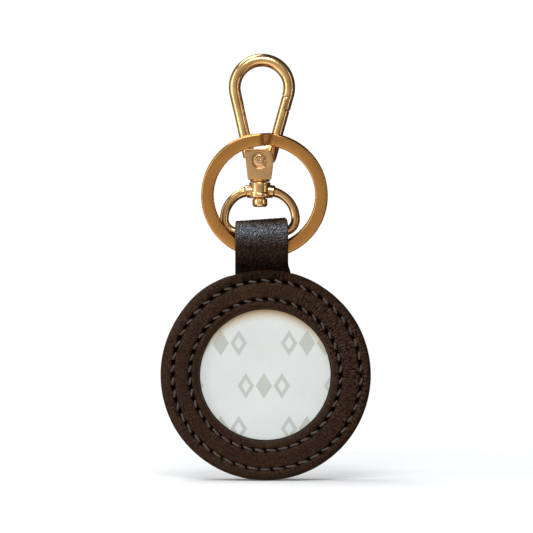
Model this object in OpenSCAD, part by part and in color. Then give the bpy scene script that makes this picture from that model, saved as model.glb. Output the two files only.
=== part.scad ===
/* [Disc] */
// outer radius of the round leather body
disc_radius = 25.0; // [24:0.1:26]
// half of the thickness of the leather body
disc_half = 4.2; // [3.8:0.1:4.8]
// radius of the recess edge in the front cover
window_radius = 15.85; // [15:0.05:16.5]
// thickness of every leather ply
leather = 1.1; // [0.9:0.05:1.2]
// roll radius of the outer front edge
edge_roll = 1.4; // [1.2:0.1:1.8]
// roll radius of the recess edge
window_roll = 0.8; // [0.5:0.1:0.9]
// sideways position of the disc centre
disc_x = 0.8; // [0:0.1:1.2]
// height of the disc centre below the hook eye
disc_z = -73.9; // [-75:0.1:-73]
// depth position of the leather body's middle plane
tag_y = -1.4; // [-1.6:0.1:-1.2]

/* [Seams] */
// radius of the outer seam
outer_seam_radius = 22.3; // [22:0.1:22.6]
// stitches in the outer seam
outer_stitches = 46; // [40:1:52]
// radius of the inner seam
inner_seam_radius = 18.0; // [17.8:0.1:18.4]
// stitches in the inner seam
inner_stitches = 40; // [36:1:44]
// radius of the sewing thread
thread_radius = 0.22; // [0.18:0.01:0.26]
// depth of the channel that the stitches lie in
channel_depth = 0.4; // [0.3:0.05:0.5]

/* [Strap] */
// width of the leather strap
strap_width = 12.8; // [12:0.1:13]
// inside half depth of the strap's loop
loop_half = 3.12; // [3.1:0.02:3.2]
// thickness of the strap where it loops
strap_leather = 1.0; // [0.9:0.05:1.1]
// sideways position of the strap's centre
strap_x = -0.25; // [-0.3:0.05:-0.2]
// height of the strap's top fold
strap_top = -36.36; // [-36.6:0.02:-36.2]

/* [Puck] */
// radius of the sealed tracker puck
puck_radius = 17.0; // [16.5:0.1:17]
// wall of the puck's two shells
shell = 0.7; // [0.6:0.1:0.8]
// radius of the coin cell
cell_radius = 10.0; // [8:0.5:10]
// thickness of the coin cell
cell_height = 2.5; // [1.6:0.1:2.5]

/* [Hook] */
// radius of the hook's rod
hook_rod = 1.45; // [1.35:0.05:1.5]
// radius of the hook's arc, to the middle of the rod
hook_arc = 6.55; // [6.4:0.05:6.7]
// radius of the gate's rod
gate_rod = 1.35; // [1.25:0.05:1.38]
// half width of the slot that the gate turns in
slot_half = 1.5; // [1.48:0.02:1.6]
// thickness of each cheek plate
cheek = 0.95; // [0.8:0.05:1.1]
// radius of the rivet's shank
rivet_radius = 0.8; // [0.7:0.05:0.9]

/* [Swivel] */
// radius of the swivel stem
stem_radius = 1.3; // [1.2:0.05:1.4]
// radial clearance round the stem and the rivet
running_gap = 0.06; // [0.03:0.01:0.09]
// radius of the swivel loop's rod
loop_rod = 1.05; // [0.95:0.05:1.1]
// half width of the swivel loop, to the middle of the rod
loop_half_width = 8.54; // [8.4:0.02:8.6]
// sideways position of the stem
stem_x = -0.5; // [-0.6:0.05:-0.4]
// height of the loop's lower bar
bar_z = -39.7; // [-39.8:0.05:-39.6]

/* [Key ring] */
// outer radius of the split ring
ring_outer = 15.1; // [14.8:0.1:15.3]
// inner radius of the split ring
ring_inner = 12.1; // [11.9:0.1:12.3]
// thickness of one coil
coil = 0.97; // [0.9:0.01:1]
// forward lean of the ring
ring_lean = 12; // [12:0.5:16]
// sideways position of the ring's centre
ring_x = 0.6; // [0.5:0.05:0.6]
// height of the line that the ring turns about
ring_pivot_z = -43.45; // [-43.5:0.05:-43.3]

/* [Hidden] */
$fn = 96;

arc_z = -5.1;
arm_lean = 12.5;
nose_lean = 15.5;
rivet_x = -0.55;
rivet_z = -22.63;
ply_in = disc_half - leather;
hem_in = ply_in - leather;
ring_pivot_s = 2.5;

// the leather body's own frame: x across, y up, z towards the front
module in_disc() { translate([disc_x, tag_y, disc_z]) rotate([90, 0, 0]) children(); }

// a band of a turned shape, from the profile's radii and heights
module band(r0, r1, h0, h1) { translate([r0, h0]) square([r1 - r0, h1 - h0]); }

// the quarter of a circle that points out and forward
module corner(r, inner) {
  intersection() {
    difference() { circle(r = r); if (inner > 0) circle(r = inner); }
    square([r, r]);
  }
}

// the room that the strap's tails take at the top of the body
module tail_pocket(h0, h1, low) {
  translate([strap_x - disc_x - strap_width / 2 - 0.1, low, h0]) cube([strap_width + 0.2, 30 - low, h1 - h0]);
}

module front_leather_cover() {
  color([0.2, 0.14, 0.11]) in_disc() difference() {
    rotate_extrude() difference() {
      union() {
        band(window_radius + window_roll, disc_radius - edge_roll, ply_in, disc_half);
        translate([disc_radius - edge_roll, disc_half - edge_roll]) corner(edge_roll, edge_roll - leather);
        band(disc_radius - leather, disc_radius, -ply_in, disc_half - edge_roll);
        band(window_radius + 0.3, 19.5, hem_in, hem_in + 0.6);
        band(window_radius, 19.5, hem_in + 0.58, disc_half - window_roll);
        translate([window_radius + window_roll, disc_half - window_roll]) mirror([1, 0]) corner(window_roll, 0);
        band(window_radius + window_roll, 19.5, disc_half - window_roll, disc_half - window_roll + 0.3);
      }
      band(outer_seam_radius - 0.45, outer_seam_radius + 0.45, disc_half - channel_depth, disc_half + 1);
      band(inner_seam_radius - 0.45, inner_seam_radius + 0.45, disc_half - channel_depth, disc_half + 1);
    }
    tail_pocket(-ply_in - 0.1, ply_in, 22);
  }
}

module padding_ring() {
  color([0.75, 0.72, 0.66]) in_disc() difference() {
    rotate_extrude() band(19.7, disc_radius - leather - 0.3, ply_in - 0.6, ply_in);
    tail_pocket(hem_in - 1, ply_in + 1, 19.8);
  }
}

module frame_core() {
  color([0.36, 0.27, 0.2]) in_disc() difference() {
    rotate_extrude() union() {
      band(puck_radius + 0.1, 19.6, -ply_in, hem_in);
      band(19.6, disc_radius - leather - 0.1, -ply_in, ply_in - 0.6);
    }
    tail_pocket(hem_in, ply_in + 1, 19.8);
    tail_pocket(-ply_in - 1, -hem_in, 19.8);
  }
}

module rear_leather_disc() {
  color([0.17, 0.12, 0.09]) in_disc() rotate_extrude() difference() {
    union() {
      band(0, disc_radius - leather, -disc_half, -ply_in);
      translate([disc_radius - leather, -ply_in]) mirror([0, 1]) corner(leather, 0);
    }
    band(outer_seam_radius - 0.45, outer_seam_radius + 0.45, -disc_half - 1, -disc_half + channel_depth + 0.08);
  }
}

// the strap folds over the swivel loop's bar, holds the key ring below it, and ends inside the body
module strap_loop() {
  out = loop_half + strap_leather;
  fold = strap_top - disc_z - out;
  low = 27.2;
  color([0.24, 0.19, 0.17]) in_disc() translate([strap_x - disc_x - strap_width / 2, 0, 0])
    rotate([90, 0, 90]) linear_extrude(height = strap_width) {
      translate([fold, 0]) intersection() {
        difference() { circle(r = out); circle(r = loop_half); }
        translate([0, -10]) square([10, 20]);
      }
      for (s = [0, 1]) mirror([0, s]) {
        translate([low, loop_half]) square([fold - low + 0.01, strap_leather]);
        polygon([[low + 0.01, loop_half], [low + 0.01, out], [25.2, ply_in], [20, ply_in], [20, hem_in], [25.2, hem_in]]);
      }
    }
}

// one run of stitches, each a bar on the surface with its two ends going down into the leather
module stitches(n, r, len, bar, dir, legs, slant) {
  for (i = [0:n - 1]) rotate([0, 0, (i + 0.5) * 360 / n]) translate([r, 0, bar]) rotate([0, 0, slant]) {
    rotate([90, 0, 0]) cylinder(h = len, r = thread_radius, center = true, $fn = 24);
    for (s = [-1, 1]) translate([0, s * (len / 2 - 0.26), dir > 0 ? -legs : 0]) cylinder(h = legs, r = thread_radius - 0.04, $fn = 24);
  }
}

front_bar = disc_half - channel_depth + thread_radius;

module outer_seam_needle_thread() {
  color([0.36, 0.29, 0.24]) in_disc() stitches(outer_stitches, outer_seam_radius, 2.35, front_bar, 1, 0.75, 7);
}

module outer_seam_bobbin_thread() {
  color([0.36, 0.29, 0.24]) in_disc() stitches(outer_stitches, outer_seam_radius, 2.35, -disc_half + 0.06 + thread_radius, -1, 0.6, -7);
}

module inner_seam_needle_thread() {
  color([0.36, 0.29, 0.24]) in_disc() stitches(inner_stitches, inner_seam_radius, 2.15, front_bar, 1, 1.5, 7);
}

module inner_seam_bobbin_thread() {
  color([0.36, 0.29, 0.24]) in_disc() stitches(inner_stitches, inner_seam_radius, 2.15, hem_in + thread_radius + 0.02, -1, 0.4, -7);
}

module adhesive_pad() {
  color([0.86, 0.86, 0.84]) in_disc() translate([0, 0, hem_in]) cylinder(h = 0.4, r = window_radius - 0.2);
}

module release_liner() {
  color([0.9, 0.92, 0.93]) in_disc() translate([0, 0, hem_in + 0.4]) cylinder(h = 0.12, r = window_radius - 0.12);
}

module tracker_front_shell() {
  color([0.9, 0.9, 0.9]) in_disc() rotate_extrude() union() {
    band(0, puck_radius, hem_in - shell, hem_in);
    band(puck_radius - shell, puck_radius, 0.3, hem_in - shell + 0.01);
    band(puck_radius - shell - 0.5, puck_radius - shell + 0.01, 0.9, hem_in - shell + 0.01);
  }
}

module tracker_rear_shell() {
  color([0.85, 0.85, 0.86]) in_disc() union() {
    rotate_extrude() union() {
      band(0, puck_radius, -ply_in + 0.05, -ply_in + shell + 0.05);
      band(puck_radius - shell, puck_radius, -ply_in + shell, 0.3);
      band(puck_radius - shell - 0.5, puck_radius - shell + 0.01, -ply_in + shell, -0.45);
      band(10.1, 10.3, -ply_in + shell, -0.45);
    }
  }
}

module circuit_board() {
  color([0.1, 0.3, 0.16]) in_disc() difference() {
    translate([0, 0, -0.45]) cylinder(h = 0.6, r = 16.1);
    translate([0, 0, -1]) cylinder(h = 2, r = 10.35);
    translate([0, -13.2, -1]) cylinder(h = 2, r = 0.6);
  }
}

module board_components() {
  color([0.12, 0.12, 0.13]) in_disc() union() {
    translate([-13.2 - 1.9, -1.9, 0.15]) cube([3.8, 3.8, 0.7]);
    translate([11.8, -1.0, 0.15]) cube([2.6, 2.0, 0.6]);
    rotate([0, 0, 60]) translate([12.2, -0.8, 0.15]) cube([2.0, 1.6, 0.55]);
    rotate([0, 0, 120]) translate([12.2, -0.6, 0.15]) cube([2.2, 1.2, 0.5]);
    for (a = [200, 215, 325, 340]) rotate([0, 0, a]) translate([12.6, -0.25, 0.15]) cube([1.0, 0.5, 0.4]);
  }
}

module coin_cell() {
  color([0.75, 0.76, 0.78]) in_disc() rotate_extrude() union() {
    band(0, cell_radius, -1.95, -1.95 + cell_height - 0.4);
    band(0, cell_radius - 1.2, -1.95 + cell_height - 0.41, -1.95 + cell_height);
  }
}

module battery_contact_positive() {
  color([0.8, 0.78, 0.7]) in_disc() union() {
    translate([-1.5, 2, 0.56]) cube([3, 11.5, 0.15]);
    translate([-1.5, 13.35, 0.16]) cube([3, 0.15, 0.5]);
  }
}

module battery_contact_negative() {
  color([0.8, 0.78, 0.7]) in_disc() union() {
    translate([0, 0, -2.33]) cylinder(h = 0.15, r = 5.5);
    for (a = [30, 150, 270]) rotate([0, 0, a]) translate([1.5, -0.9, -2.2]) cube([3.4, 1.8, 0.24]);
  }
}

module sounder_disc() {
  color([0.85, 0.7, 0.4]) in_disc() difference() {
    translate([0, 0, hem_in - shell - 0.4]) cylinder(h = 0.4, r = 9);
    translate([-2, 1.5, 0]) cube([4, 10, 0.95]);
  }
}

// a straight rod in the hook's plane
module rod(x1, z1, x2, z2, r) {
  translate([x1, 0, z1]) rotate([0, atan2(x2 - x1, z2 - z1), 0]) cylinder(h = norm([x2 - x1, z2 - z1]), r = r);
}

// a bent rod in the hook's plane, from angle a0 to a1, counted from +X towards +Z
module bend(cx, cz, big, r, a0, a1) {
  translate([cx, 0, cz]) rotate([90, 0, 0]) rotate([0, 0, a0]) rotate_extrude(angle = a1 - a0) translate([big, 0]) circle(r = r);
}

nose_x = hook_arc * cos(nose_lean);
nose_z = arc_z - hook_arc * sin(nose_lean);
arm_x = -hook_arc * cos(arm_lean);
arm_z = arc_z - hook_arc * sin(arm_lean);

// the outline of a cheek plate
module cheek_outline() {
  polygon([[-3.84, -19.92], [0.6, -19.92], [1.35, -20.08], [1.95, -20.5], [2.4, -21.1], [2.62, -21.9], [2.72, -23.0], [2.6, -24.6], [2.2, -26.3], [1.75, -27.24],
    [-3.1, -27.24], [-3.62, -26.4], [-3.9, -24.6], [-4.2, -22.68], [-4.36, -20.9], [-4.28, -20.3]]);
}

module plate(y0, y1) { translate([0, y1, 0]) rotate([90, 0, 0]) linear_extrude(height = y1 - y0) children(); }

module hook_body() {
  out = slot_half + cheek;
  color([0.83, 0.7, 0.5]) difference() {
    union() {
      bend(0, arc_z, hook_arc, hook_rod, -nose_lean, 180 + arm_lean);
      rod(arm_x, arm_z, arm_x + 16.8 * sin(arm_lean), arm_z - 16.8 * cos(arm_lean), hook_rod - 0.03);
      rod(nose_x, nose_z, nose_x - 3.7 * sin(nose_lean), nose_z - 3.7 * cos(nose_lean), hook_rod - 0.03);
      plate(-out, -slot_half) cheek_outline();
      plate(slot_half, out) cheek_outline();
      plate(-slot_half - 0.01, slot_half + 0.01) union() {
        intersection() {
          cheek_outline();
          union() { translate([-6, -28]) square([3.1, 9]); translate([-6, -28]) square([10, 3.1]); }
        }
      }
      translate([stem_x, 0, -27.75]) cylinder(h = 0.6, r = 1.95);
      translate([stem_x, 0, -32.0]) cylinder(h = 5, r = stem_radius);
      translate([stem_x, 0, -33.4]) cylinder(h = 1.6, r = 1.78);
      translate([stem_x, 0, -33.72]) cylinder(h = 0.33, r1 = 1.45, r2 = 1.78);
    }
    translate([rivet_x, 0, rivet_z]) rotate([90, 0, 0]) {
      cylinder(h = 10, r = rivet_radius, center = true);
      for (s = [0, 1]) mirror([0, 0, s]) translate([0, 0, out - 0.35]) cylinder(h = 1, r = 1.8);
    }
    translate([rivet_x, 0, rivet_z]) rotate([90, 0, 0]) cylinder(h = 2 * slot_half, r = 2.35, center = true);
    translate([nose_x, 0, nose_z]) rotate([0, nose_lean, 0]) translate([-4.95, -3, -6]) cube([5, 6, 5.75]);
    for (a = [45, 135]) translate([stem_x, 0, -33.9]) rotate([0, 0, a]) cube([6, 0.35, 0.9], center = true);
  }
}

// the gate leans with the nose and meets the inner half of the lap
module gate_lever() {
  color([0.85, 0.72, 0.52]) difference() {
    union() {
      difference() {
        translate([nose_x, 0, nose_z]) rotate([0, nose_lean, 0]) translate([0, 0, -15.9]) cylinder(h = 15.5, r = gate_rod);
        translate([nose_x, 0, nose_z]) rotate([0, nose_lean, 0]) translate([-0.1, -3, -3.9]) cube([5, 6, 5]);
      }
      translate([nose_x, 0, nose_z]) rotate([0, nose_lean, 0]) translate([0, 0, -15.9]) sphere(r = gate_rod);
      plate(-0.75, 0.75) union() {
        translate([rivet_x, rivet_z]) circle(r = 2.0);
        translate([rivet_x, rivet_z]) rotate([0, 0, -nose_lean]) translate([0, -1.2]) square([2.5, 5.5]);
      }
    }
    translate([rivet_x, 0, rivet_z]) rotate([90, 0, 0]) cylinder(h = 10, r = rivet_radius + running_gap, center = true);
  }
}

module gate_rivet() {
  out = slot_half + cheek;
  color([0.8, 0.66, 0.45]) translate([rivet_x, 0, rivet_z]) rotate([90, 0, 0]) union() {
    cylinder(h = 2 * out - 0.7, r = rivet_radius, center = true);
    for (s = [0, 1]) mirror([0, 0, s]) translate([0, 0, out - 0.36]) {
      cylinder(h = 0.25, r = 1.45);
      translate([0, 0, 0.24]) difference() {
        intersection() { translate([0, 0, -4.06]) sphere(r = 4.32); cylinder(h = 1, r = 1.449); }
        translate([0, 0, 0.2]) cylinder(h = 1, r = 0.22);
      }
    }
  }
}

// the light coil spring on the rivet that shuts the gate
module gate_spring() {
  color([0.7, 0.7, 0.72]) translate([rivet_x, 1.1, rivet_z]) rotate([90, 0, 0]) union() {
    rotate_extrude() translate([1.13, 0]) circle(r = 0.17, $fn = 24);
    rotate([0, 0, 180]) translate([1.13, -0.01, 0]) rotate([-90, 0, 0]) cylinder(h = 2.2, r = 0.165, $fn = 24);
    rotate([0, 0, -nose_lean]) translate([1.13, -0.01, 0]) rotate([-90, 0, 0]) cylinder(h = 2.6, r = 0.165, $fn = 24);
  }
}

// the swivel: a hub on the stem with the oval loop that carries the strap
module swivel_loop() {
  low_r = 3.0;
  top_r = 6.7;
  cz = bar_z + low_r;
  color([0.82, 0.69, 0.49]) difference() {
    union() {
      for (s = [0, 1]) translate([stem_x, 0, 0]) mirror([s, 0, 0]) {
        bend(loop_half_width - low_r, cz, low_r, loop_rod, -90, 0);
        bend(loop_half_width - top_r, cz, top_r, loop_rod, 0, 90);
        translate([1.4, 0, cz + top_r + 0.02]) rotate([0, 95, 0]) cylinder(h = 2.7, r1 = 1.75, r2 = 1.2);
      }
      translate([stem_x - loop_half_width + low_r, 0, bar_z]) rotate([0, 90, 0]) cylinder(h = 2 * (loop_half_width - low_r), r = loop_rod);
      translate([stem_x, 0, -30.5]) cylinder(h = 2.65, r = 2.3);
      translate([stem_x, 0, -31.35]) cylinder(h = 0.9, r = 2.75);
      translate([stem_x, 0, -31.65]) cylinder(h = 0.31, r1 = 2.45, r2 = 2.75);
    }
    translate([stem_x, 0, -32]) cylinder(h = 6, r = stem_radius + running_gap);
  }
}

// the split ring is one flat strip wound twice, with a step at the top where it changes level
function level(t) = let (e = coil / 2 + 0.07, a = 353, b = 371)
  t <= a ? e : t >= b ? -e : e * cos(180 * (t - a) / (b - a));
strip = let (c = 0.2, w = ring_inner, v = ring_outer, k = coil / 2)
  [[w + c, -k], [v - c, -k], [v, -k + c], [v, k - c], [v - c, k], [w + c, k], [w, k - c], [w, -k + c]];

module split_key_ring() {
  first = 11.5;
  last = 709;
  n = 232;
  m = len(strip);
  pts = [for (i = [0:n]) let (t = first + (last - first) * i / n, h = level(t)) for (p = strip) [p[0] * sin(t), p[0] * cos(t), p[1] + h]];
  sides = [for (i = [0:n - 1]) for (j = [0:m - 1]) let (a = i * m + j, b = i * m + (j + 1) % m) each [[a, b, b + m], [a, b + m, a + m]]];
  color([0.58, 0.39, 0.18]) translate([ring_x, tag_y, ring_pivot_z]) rotate([90 + ring_lean, 0, 0]) translate([0, ring_outer - ring_pivot_s, 0])
    polyhedron(points = pts, faces = concat([[for (j = [m - 1:-1:0]) j]], sides, [[for (j = [0:m - 1]) n * m + j]]), convexity = 10);
}

front_leather_cover();
padding_ring();
frame_core();
rear_leather_disc();
strap_loop();
outer_seam_needle_thread();
outer_seam_bobbin_thread();
inner_seam_needle_thread();
inner_seam_bobbin_thread();
adhesive_pad();
release_liner();
tracker_front_shell();
tracker_rear_shell();
circuit_board();
board_components();
coin_cell();
battery_contact_positive();
battery_contact_negative();
sounder_disc();
hook_body();
gate_lever();
gate_rivet();
gate_spring();
swivel_loop();
split_key_ring();
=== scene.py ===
import math

import bmesh
import bpy
import numpy as np
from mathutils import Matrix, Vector


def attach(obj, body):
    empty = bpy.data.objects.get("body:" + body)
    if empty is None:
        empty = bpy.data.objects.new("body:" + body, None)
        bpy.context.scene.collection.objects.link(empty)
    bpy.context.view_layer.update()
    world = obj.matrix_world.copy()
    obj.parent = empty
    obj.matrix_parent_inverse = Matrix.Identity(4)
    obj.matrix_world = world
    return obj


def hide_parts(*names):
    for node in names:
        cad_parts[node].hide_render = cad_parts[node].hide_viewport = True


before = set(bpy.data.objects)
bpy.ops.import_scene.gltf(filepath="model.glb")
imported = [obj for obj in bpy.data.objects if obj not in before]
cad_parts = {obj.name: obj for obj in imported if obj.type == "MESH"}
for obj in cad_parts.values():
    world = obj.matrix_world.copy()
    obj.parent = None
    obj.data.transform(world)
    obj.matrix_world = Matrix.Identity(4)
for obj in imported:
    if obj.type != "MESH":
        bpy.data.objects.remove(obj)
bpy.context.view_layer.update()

MM = 0.001
rng = np.random.default_rng(7)

# sizes in millimetres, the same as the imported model's
DX, TY, DZ = 0.8, -1.4, -73.9          # centre of the leather body
R_OUT, HALF, R_WIN = 25.0, 4.2, 15.85
R_SEAM_O, N_O, R_SEAM_I, N_I = 22.3, 46, 18.0, 40
STRAP_X, STRAP_W, LOOP, PLY = -0.25, 12.8, 3.12, 1.0
STEM_X, BAR_Z = -0.5, -39.7
ARC_Z, ARC_R = -5.1, 6.55
RIV_X, RIV_Z = -0.55, -22.63
SLOT, CHEEK = 1.5, 0.95


# ------------------------------------------------------------------ mesh helpers
def make(name, verts, faces, mat, sharp=None, uv=None, shade=None):
    me = bpy.data.meshes.new(name)
    me.from_pydata((np.asarray(verts, float) * MM).tolist(), [], [list(map(int, f)) for f in faces])
    me.update()
    me.polygons.foreach_set("use_smooth", [True] * len(me.polygons))
    if uv is not None:
        layer = me.uv_layers.new(name="UVMap")
        idx = np.empty(len(me.loops), np.int32)
        me.loops.foreach_get("vertex_index", idx)
        layer.data.foreach_set("uv", np.asarray(uv, np.float32)[idx].ravel())
    if shade is not None:
        me.attributes.new("shade", "FLOAT", "POINT").data.foreach_set("value", np.asarray(shade, np.float32).ravel())
    ob = bpy.data.objects.new(name, me)
    bpy.context.scene.collection.objects.link(ob)
    me.materials.append(mat)
    if sharp:
        mark_sharp(me, sharp)
    return ob


def mark_sharp(me, deg):
    bm = bmesh.new()
    bm.from_mesh(me)
    lim = math.radians(deg)
    for e in bm.edges:
        if len(e.link_faces) == 2:
            e.smooth = e.calc_face_angle(0) < lim
    bm.to_mesh(me)
    bm.free()


def grid(nu, nv, close_u, close_v, flip=False):
    iu = np.arange(nu if close_u else nu - 1)
    iv = np.arange(nv if close_v else nv - 1)
    a, b = np.meshgrid(iu, iv, indexing="ij")
    a, b = a.ravel(), b.ravel()
    a2, b2 = (a + 1) % nu, (b + 1) % nv
    f = np.stack([a * nv + b, a2 * nv + b, a2 * nv + b2, a * nv + b2], 1)
    return f[:, ::-1] if flip else f


def fix_normals(ob):
    bm = bmesh.new()
    bm.from_mesh(ob.data)
    bmesh.ops.recalc_face_normals(bm, faces=bm.faces)
    bm.to_mesh(ob.data)
    bm.free()
    return ob


def sweep(points, side, sections, closed=False):
    """A tube along points; side is the section's first axis at each point, the second is Y. sections: (N, M, 2)."""
    p = np.asarray(points, float)
    s = np.asarray(side, float)
    sec = np.asarray(sections, float)
    y = np.array([0.0, 1.0, 0.0])
    v = p[:, None, :] + sec[..., :1] * s[:, None, :] + sec[..., 1:] * y
    n, m = sec.shape[:2]
    faces = grid(n, m, closed, True).tolist()
    if not closed:
        faces += [list(range(m))[::-1], [(n - 1) * m + j for j in range(m)]]
    seg = np.r_[0, np.cumsum(np.linalg.norm(np.diff(p, axis=0), axis=1))]
    uv = np.stack(np.meshgrid(seg, np.arange(m) * 0.3, indexing="ij"), -1).reshape(-1, 2)
    return v.reshape(-1, 3), faces, uv


def lathe(profile, n, centre, axis="z"):
    """profile: closed list of (r, t). axis z keeps t along Z; axis y puts t along -Y, towards the viewer."""
    pr = np.asarray(profile, float)
    a = np.linspace(0, 2 * math.pi, n, endpoint=False)
    x = np.cos(a)[:, None] * pr[None, :, 0]
    q = np.sin(a)[:, None] * pr[None, :, 0]
    t = np.broadcast_to(pr[None, :, 1], x.shape)
    if axis == "z":
        v = np.stack([x + centre[0], q + centre[1], t + centre[2]], -1)
    else:
        v = np.stack([x + centre[0], centre[1] - t, q + centre[2]], -1)
    return v.reshape(-1, 3), grid(n, len(pr), True, True).tolist()


def circle(m, r=1.0, squash=1.0):
    a = np.linspace(0, 2 * math.pi, m, endpoint=False)
    return np.stack([np.cos(a) * r, np.sin(a) * r * squash], -1)


def arc_pts(cx, cy, r, a0, a1, n):
    a = np.radians(np.linspace(a0, a1, n))
    return [(cx + r * math.cos(t), cy + r * math.sin(t)) for t in a]


def round_poly(pts, radius, seg=5):
    out = []
    n = len(pts)
    for i in range(n):
        p0, p1, p2 = (np.array(pts[(i + k) % n], float) for k in (-1, 0, 1))
        d1, d2 = p0 - p1, p2 - p1
        l1, l2 = np.linalg.norm(d1), np.linalg.norm(d2)
        t = min(radius, l1 * 0.45, l2 * 0.45)
        a, b = p1 + d1 / l1 * t, p1 + d2 / l2 * t
        for k in range(seg + 1):
            u = k / seg
            out.append(tuple((1 - u) ** 2 * a + 2 * u * (1 - u) * p1 + u * u * b))
    return out


def slab(name, outline, y0, y1, mat):
    """outline in (x, z), between y0 and y1."""
    n = len(outline)
    v = [(x, y0, z) for x, z in outline] + [(x, y1, z) for x, z in outline]
    f = [list(range(n)), [n + i for i in range(n)][::-1]]
    f += [[i, n + i, n + (i + 1) % n, (i + 1) % n] for i in range(n)]
    return fix_normals(make(name, v, f, mat))


def apply_mods(ob):
    dg = bpy.context.evaluated_depsgraph_get()
    me = bpy.data.meshes.new_from_object(ob.evaluated_get(dg))
    old = ob.data
    ob.modifiers.clear()
    ob.data = me
    bpy.data.meshes.remove(old)
    return ob


def cut(ob, cutters, op="DIFFERENCE"):
    for c in cutters:
        m = ob.modifiers.new("b", "BOOLEAN")
        m.operation = op
        m.solver = "EXACT"
        m.object = c
    bpy.context.view_layer.update()
    apply_mods(ob)
    for c in cutters:
        bpy.data.objects.remove(c)
    return ob


def bevel(ob, width, seg=3, angle=35, sharp=50):
    m = ob.modifiers.new("v", "BEVEL")
    m.width = width * MM
    m.segments = seg
    m.limit_method = "ANGLE"
    m.angle_limit = math.radians(angle)
    m.harden_normals = False
    bpy.context.view_layer.update()
    apply_mods(ob)
    ob.data.polygons.foreach_set("use_smooth", [True] * len(ob.data.polygons))
    mark_sharp(ob.data, sharp)
    return ob


def join(name, obs):
    bpy.context.view_layer.update()
    bm = bmesh.new()
    for o in obs:
        bm.from_mesh(o.data)
    me = bpy.data.meshes.new(name)
    bm.to_mesh(me)
    bm.free()
    for m in obs[0].data.materials:
        me.materials.append(m)
    ob = bpy.data.objects.new(name, me)
    bpy.context.scene.collection.objects.link(ob)
    for o in obs:
        bpy.data.objects.remove(o)
    return ob


# ------------------------------------------------------------------ materials
def material(name):
    m = bpy.data.materials.new(name)
    m.use_nodes = True
    nt = m.node_tree
    return m, nt, nt.nodes["Principled BSDF"]


def node(nt, kind, **kw):
    n = nt.nodes.new(kind)
    for k, v in kw.items():
        if k.startswith("i_"):
            n.inputs[k[2:].replace("_", " ")].default_value = v
        else:
            setattr(n, k, v)
    return n


def math_node(nt, op, a, b=None, clamp=False):
    n = nt.nodes.new("ShaderNodeMath")
    n.operation = op
    n.use_clamp = clamp
    for i, x in enumerate((a, b)):
        if x is None:
            continue
        if isinstance(x, (int, float)):
            n.inputs[i].default_value = x
        else:
            nt.links.new(x, n.inputs[i])
    return n.outputs[0]


def ramp(nt, fac, stops):
    n = nt.nodes.new("ShaderNodeValToRGB")
    el = n.color_ramp.elements
    while len(el) < len(stops):
        el.new(0.5)
    for e, (p, c) in zip(el, stops):
        e.position = p
        e.color = (*c, 1.0) if len(c) == 3 else c
    nt.links.new(fac, n.inputs[0])
    return n.outputs[0]


def coords(nt, kind="Object"):
    return node(nt, "ShaderNodeTexCoord").outputs[kind]


def noise(nt, vec, scale, detail=3.0, rough=0.55, distortion=0.0):
    n = node(nt, "ShaderNodeTexNoise")
    n.inputs["Scale"].default_value = scale
    n.inputs["Detail"].default_value = detail
    n.inputs["Roughness"].default_value = rough
    n.inputs["Distortion"].default_value = distortion
    nt.links.new(vec, n.inputs["Vector"])
    return n.outputs["Fac"]


def voronoi(nt, vec, scale, feature="F1", rand=1.0):
    n = node(nt, "ShaderNodeTexVoronoi")
    n.feature = feature
    n.inputs["Scale"].default_value = scale
    n.inputs["Randomness"].default_value = rand
    nt.links.new(vec, n.inputs["Vector"])
    return n.outputs["Distance"]


def bump(nt, height, dist, strength=1.0, normal=None):
    n = node(nt, "ShaderNodeBump")
    n.inputs["Strength"].default_value = strength
    n.inputs["Distance"].default_value = dist
    nt.links.new(height, n.inputs["Height"])
    if normal is not None:
        nt.links.new(normal, n.inputs["Normal"])
    return n.outputs["Normal"]


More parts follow.
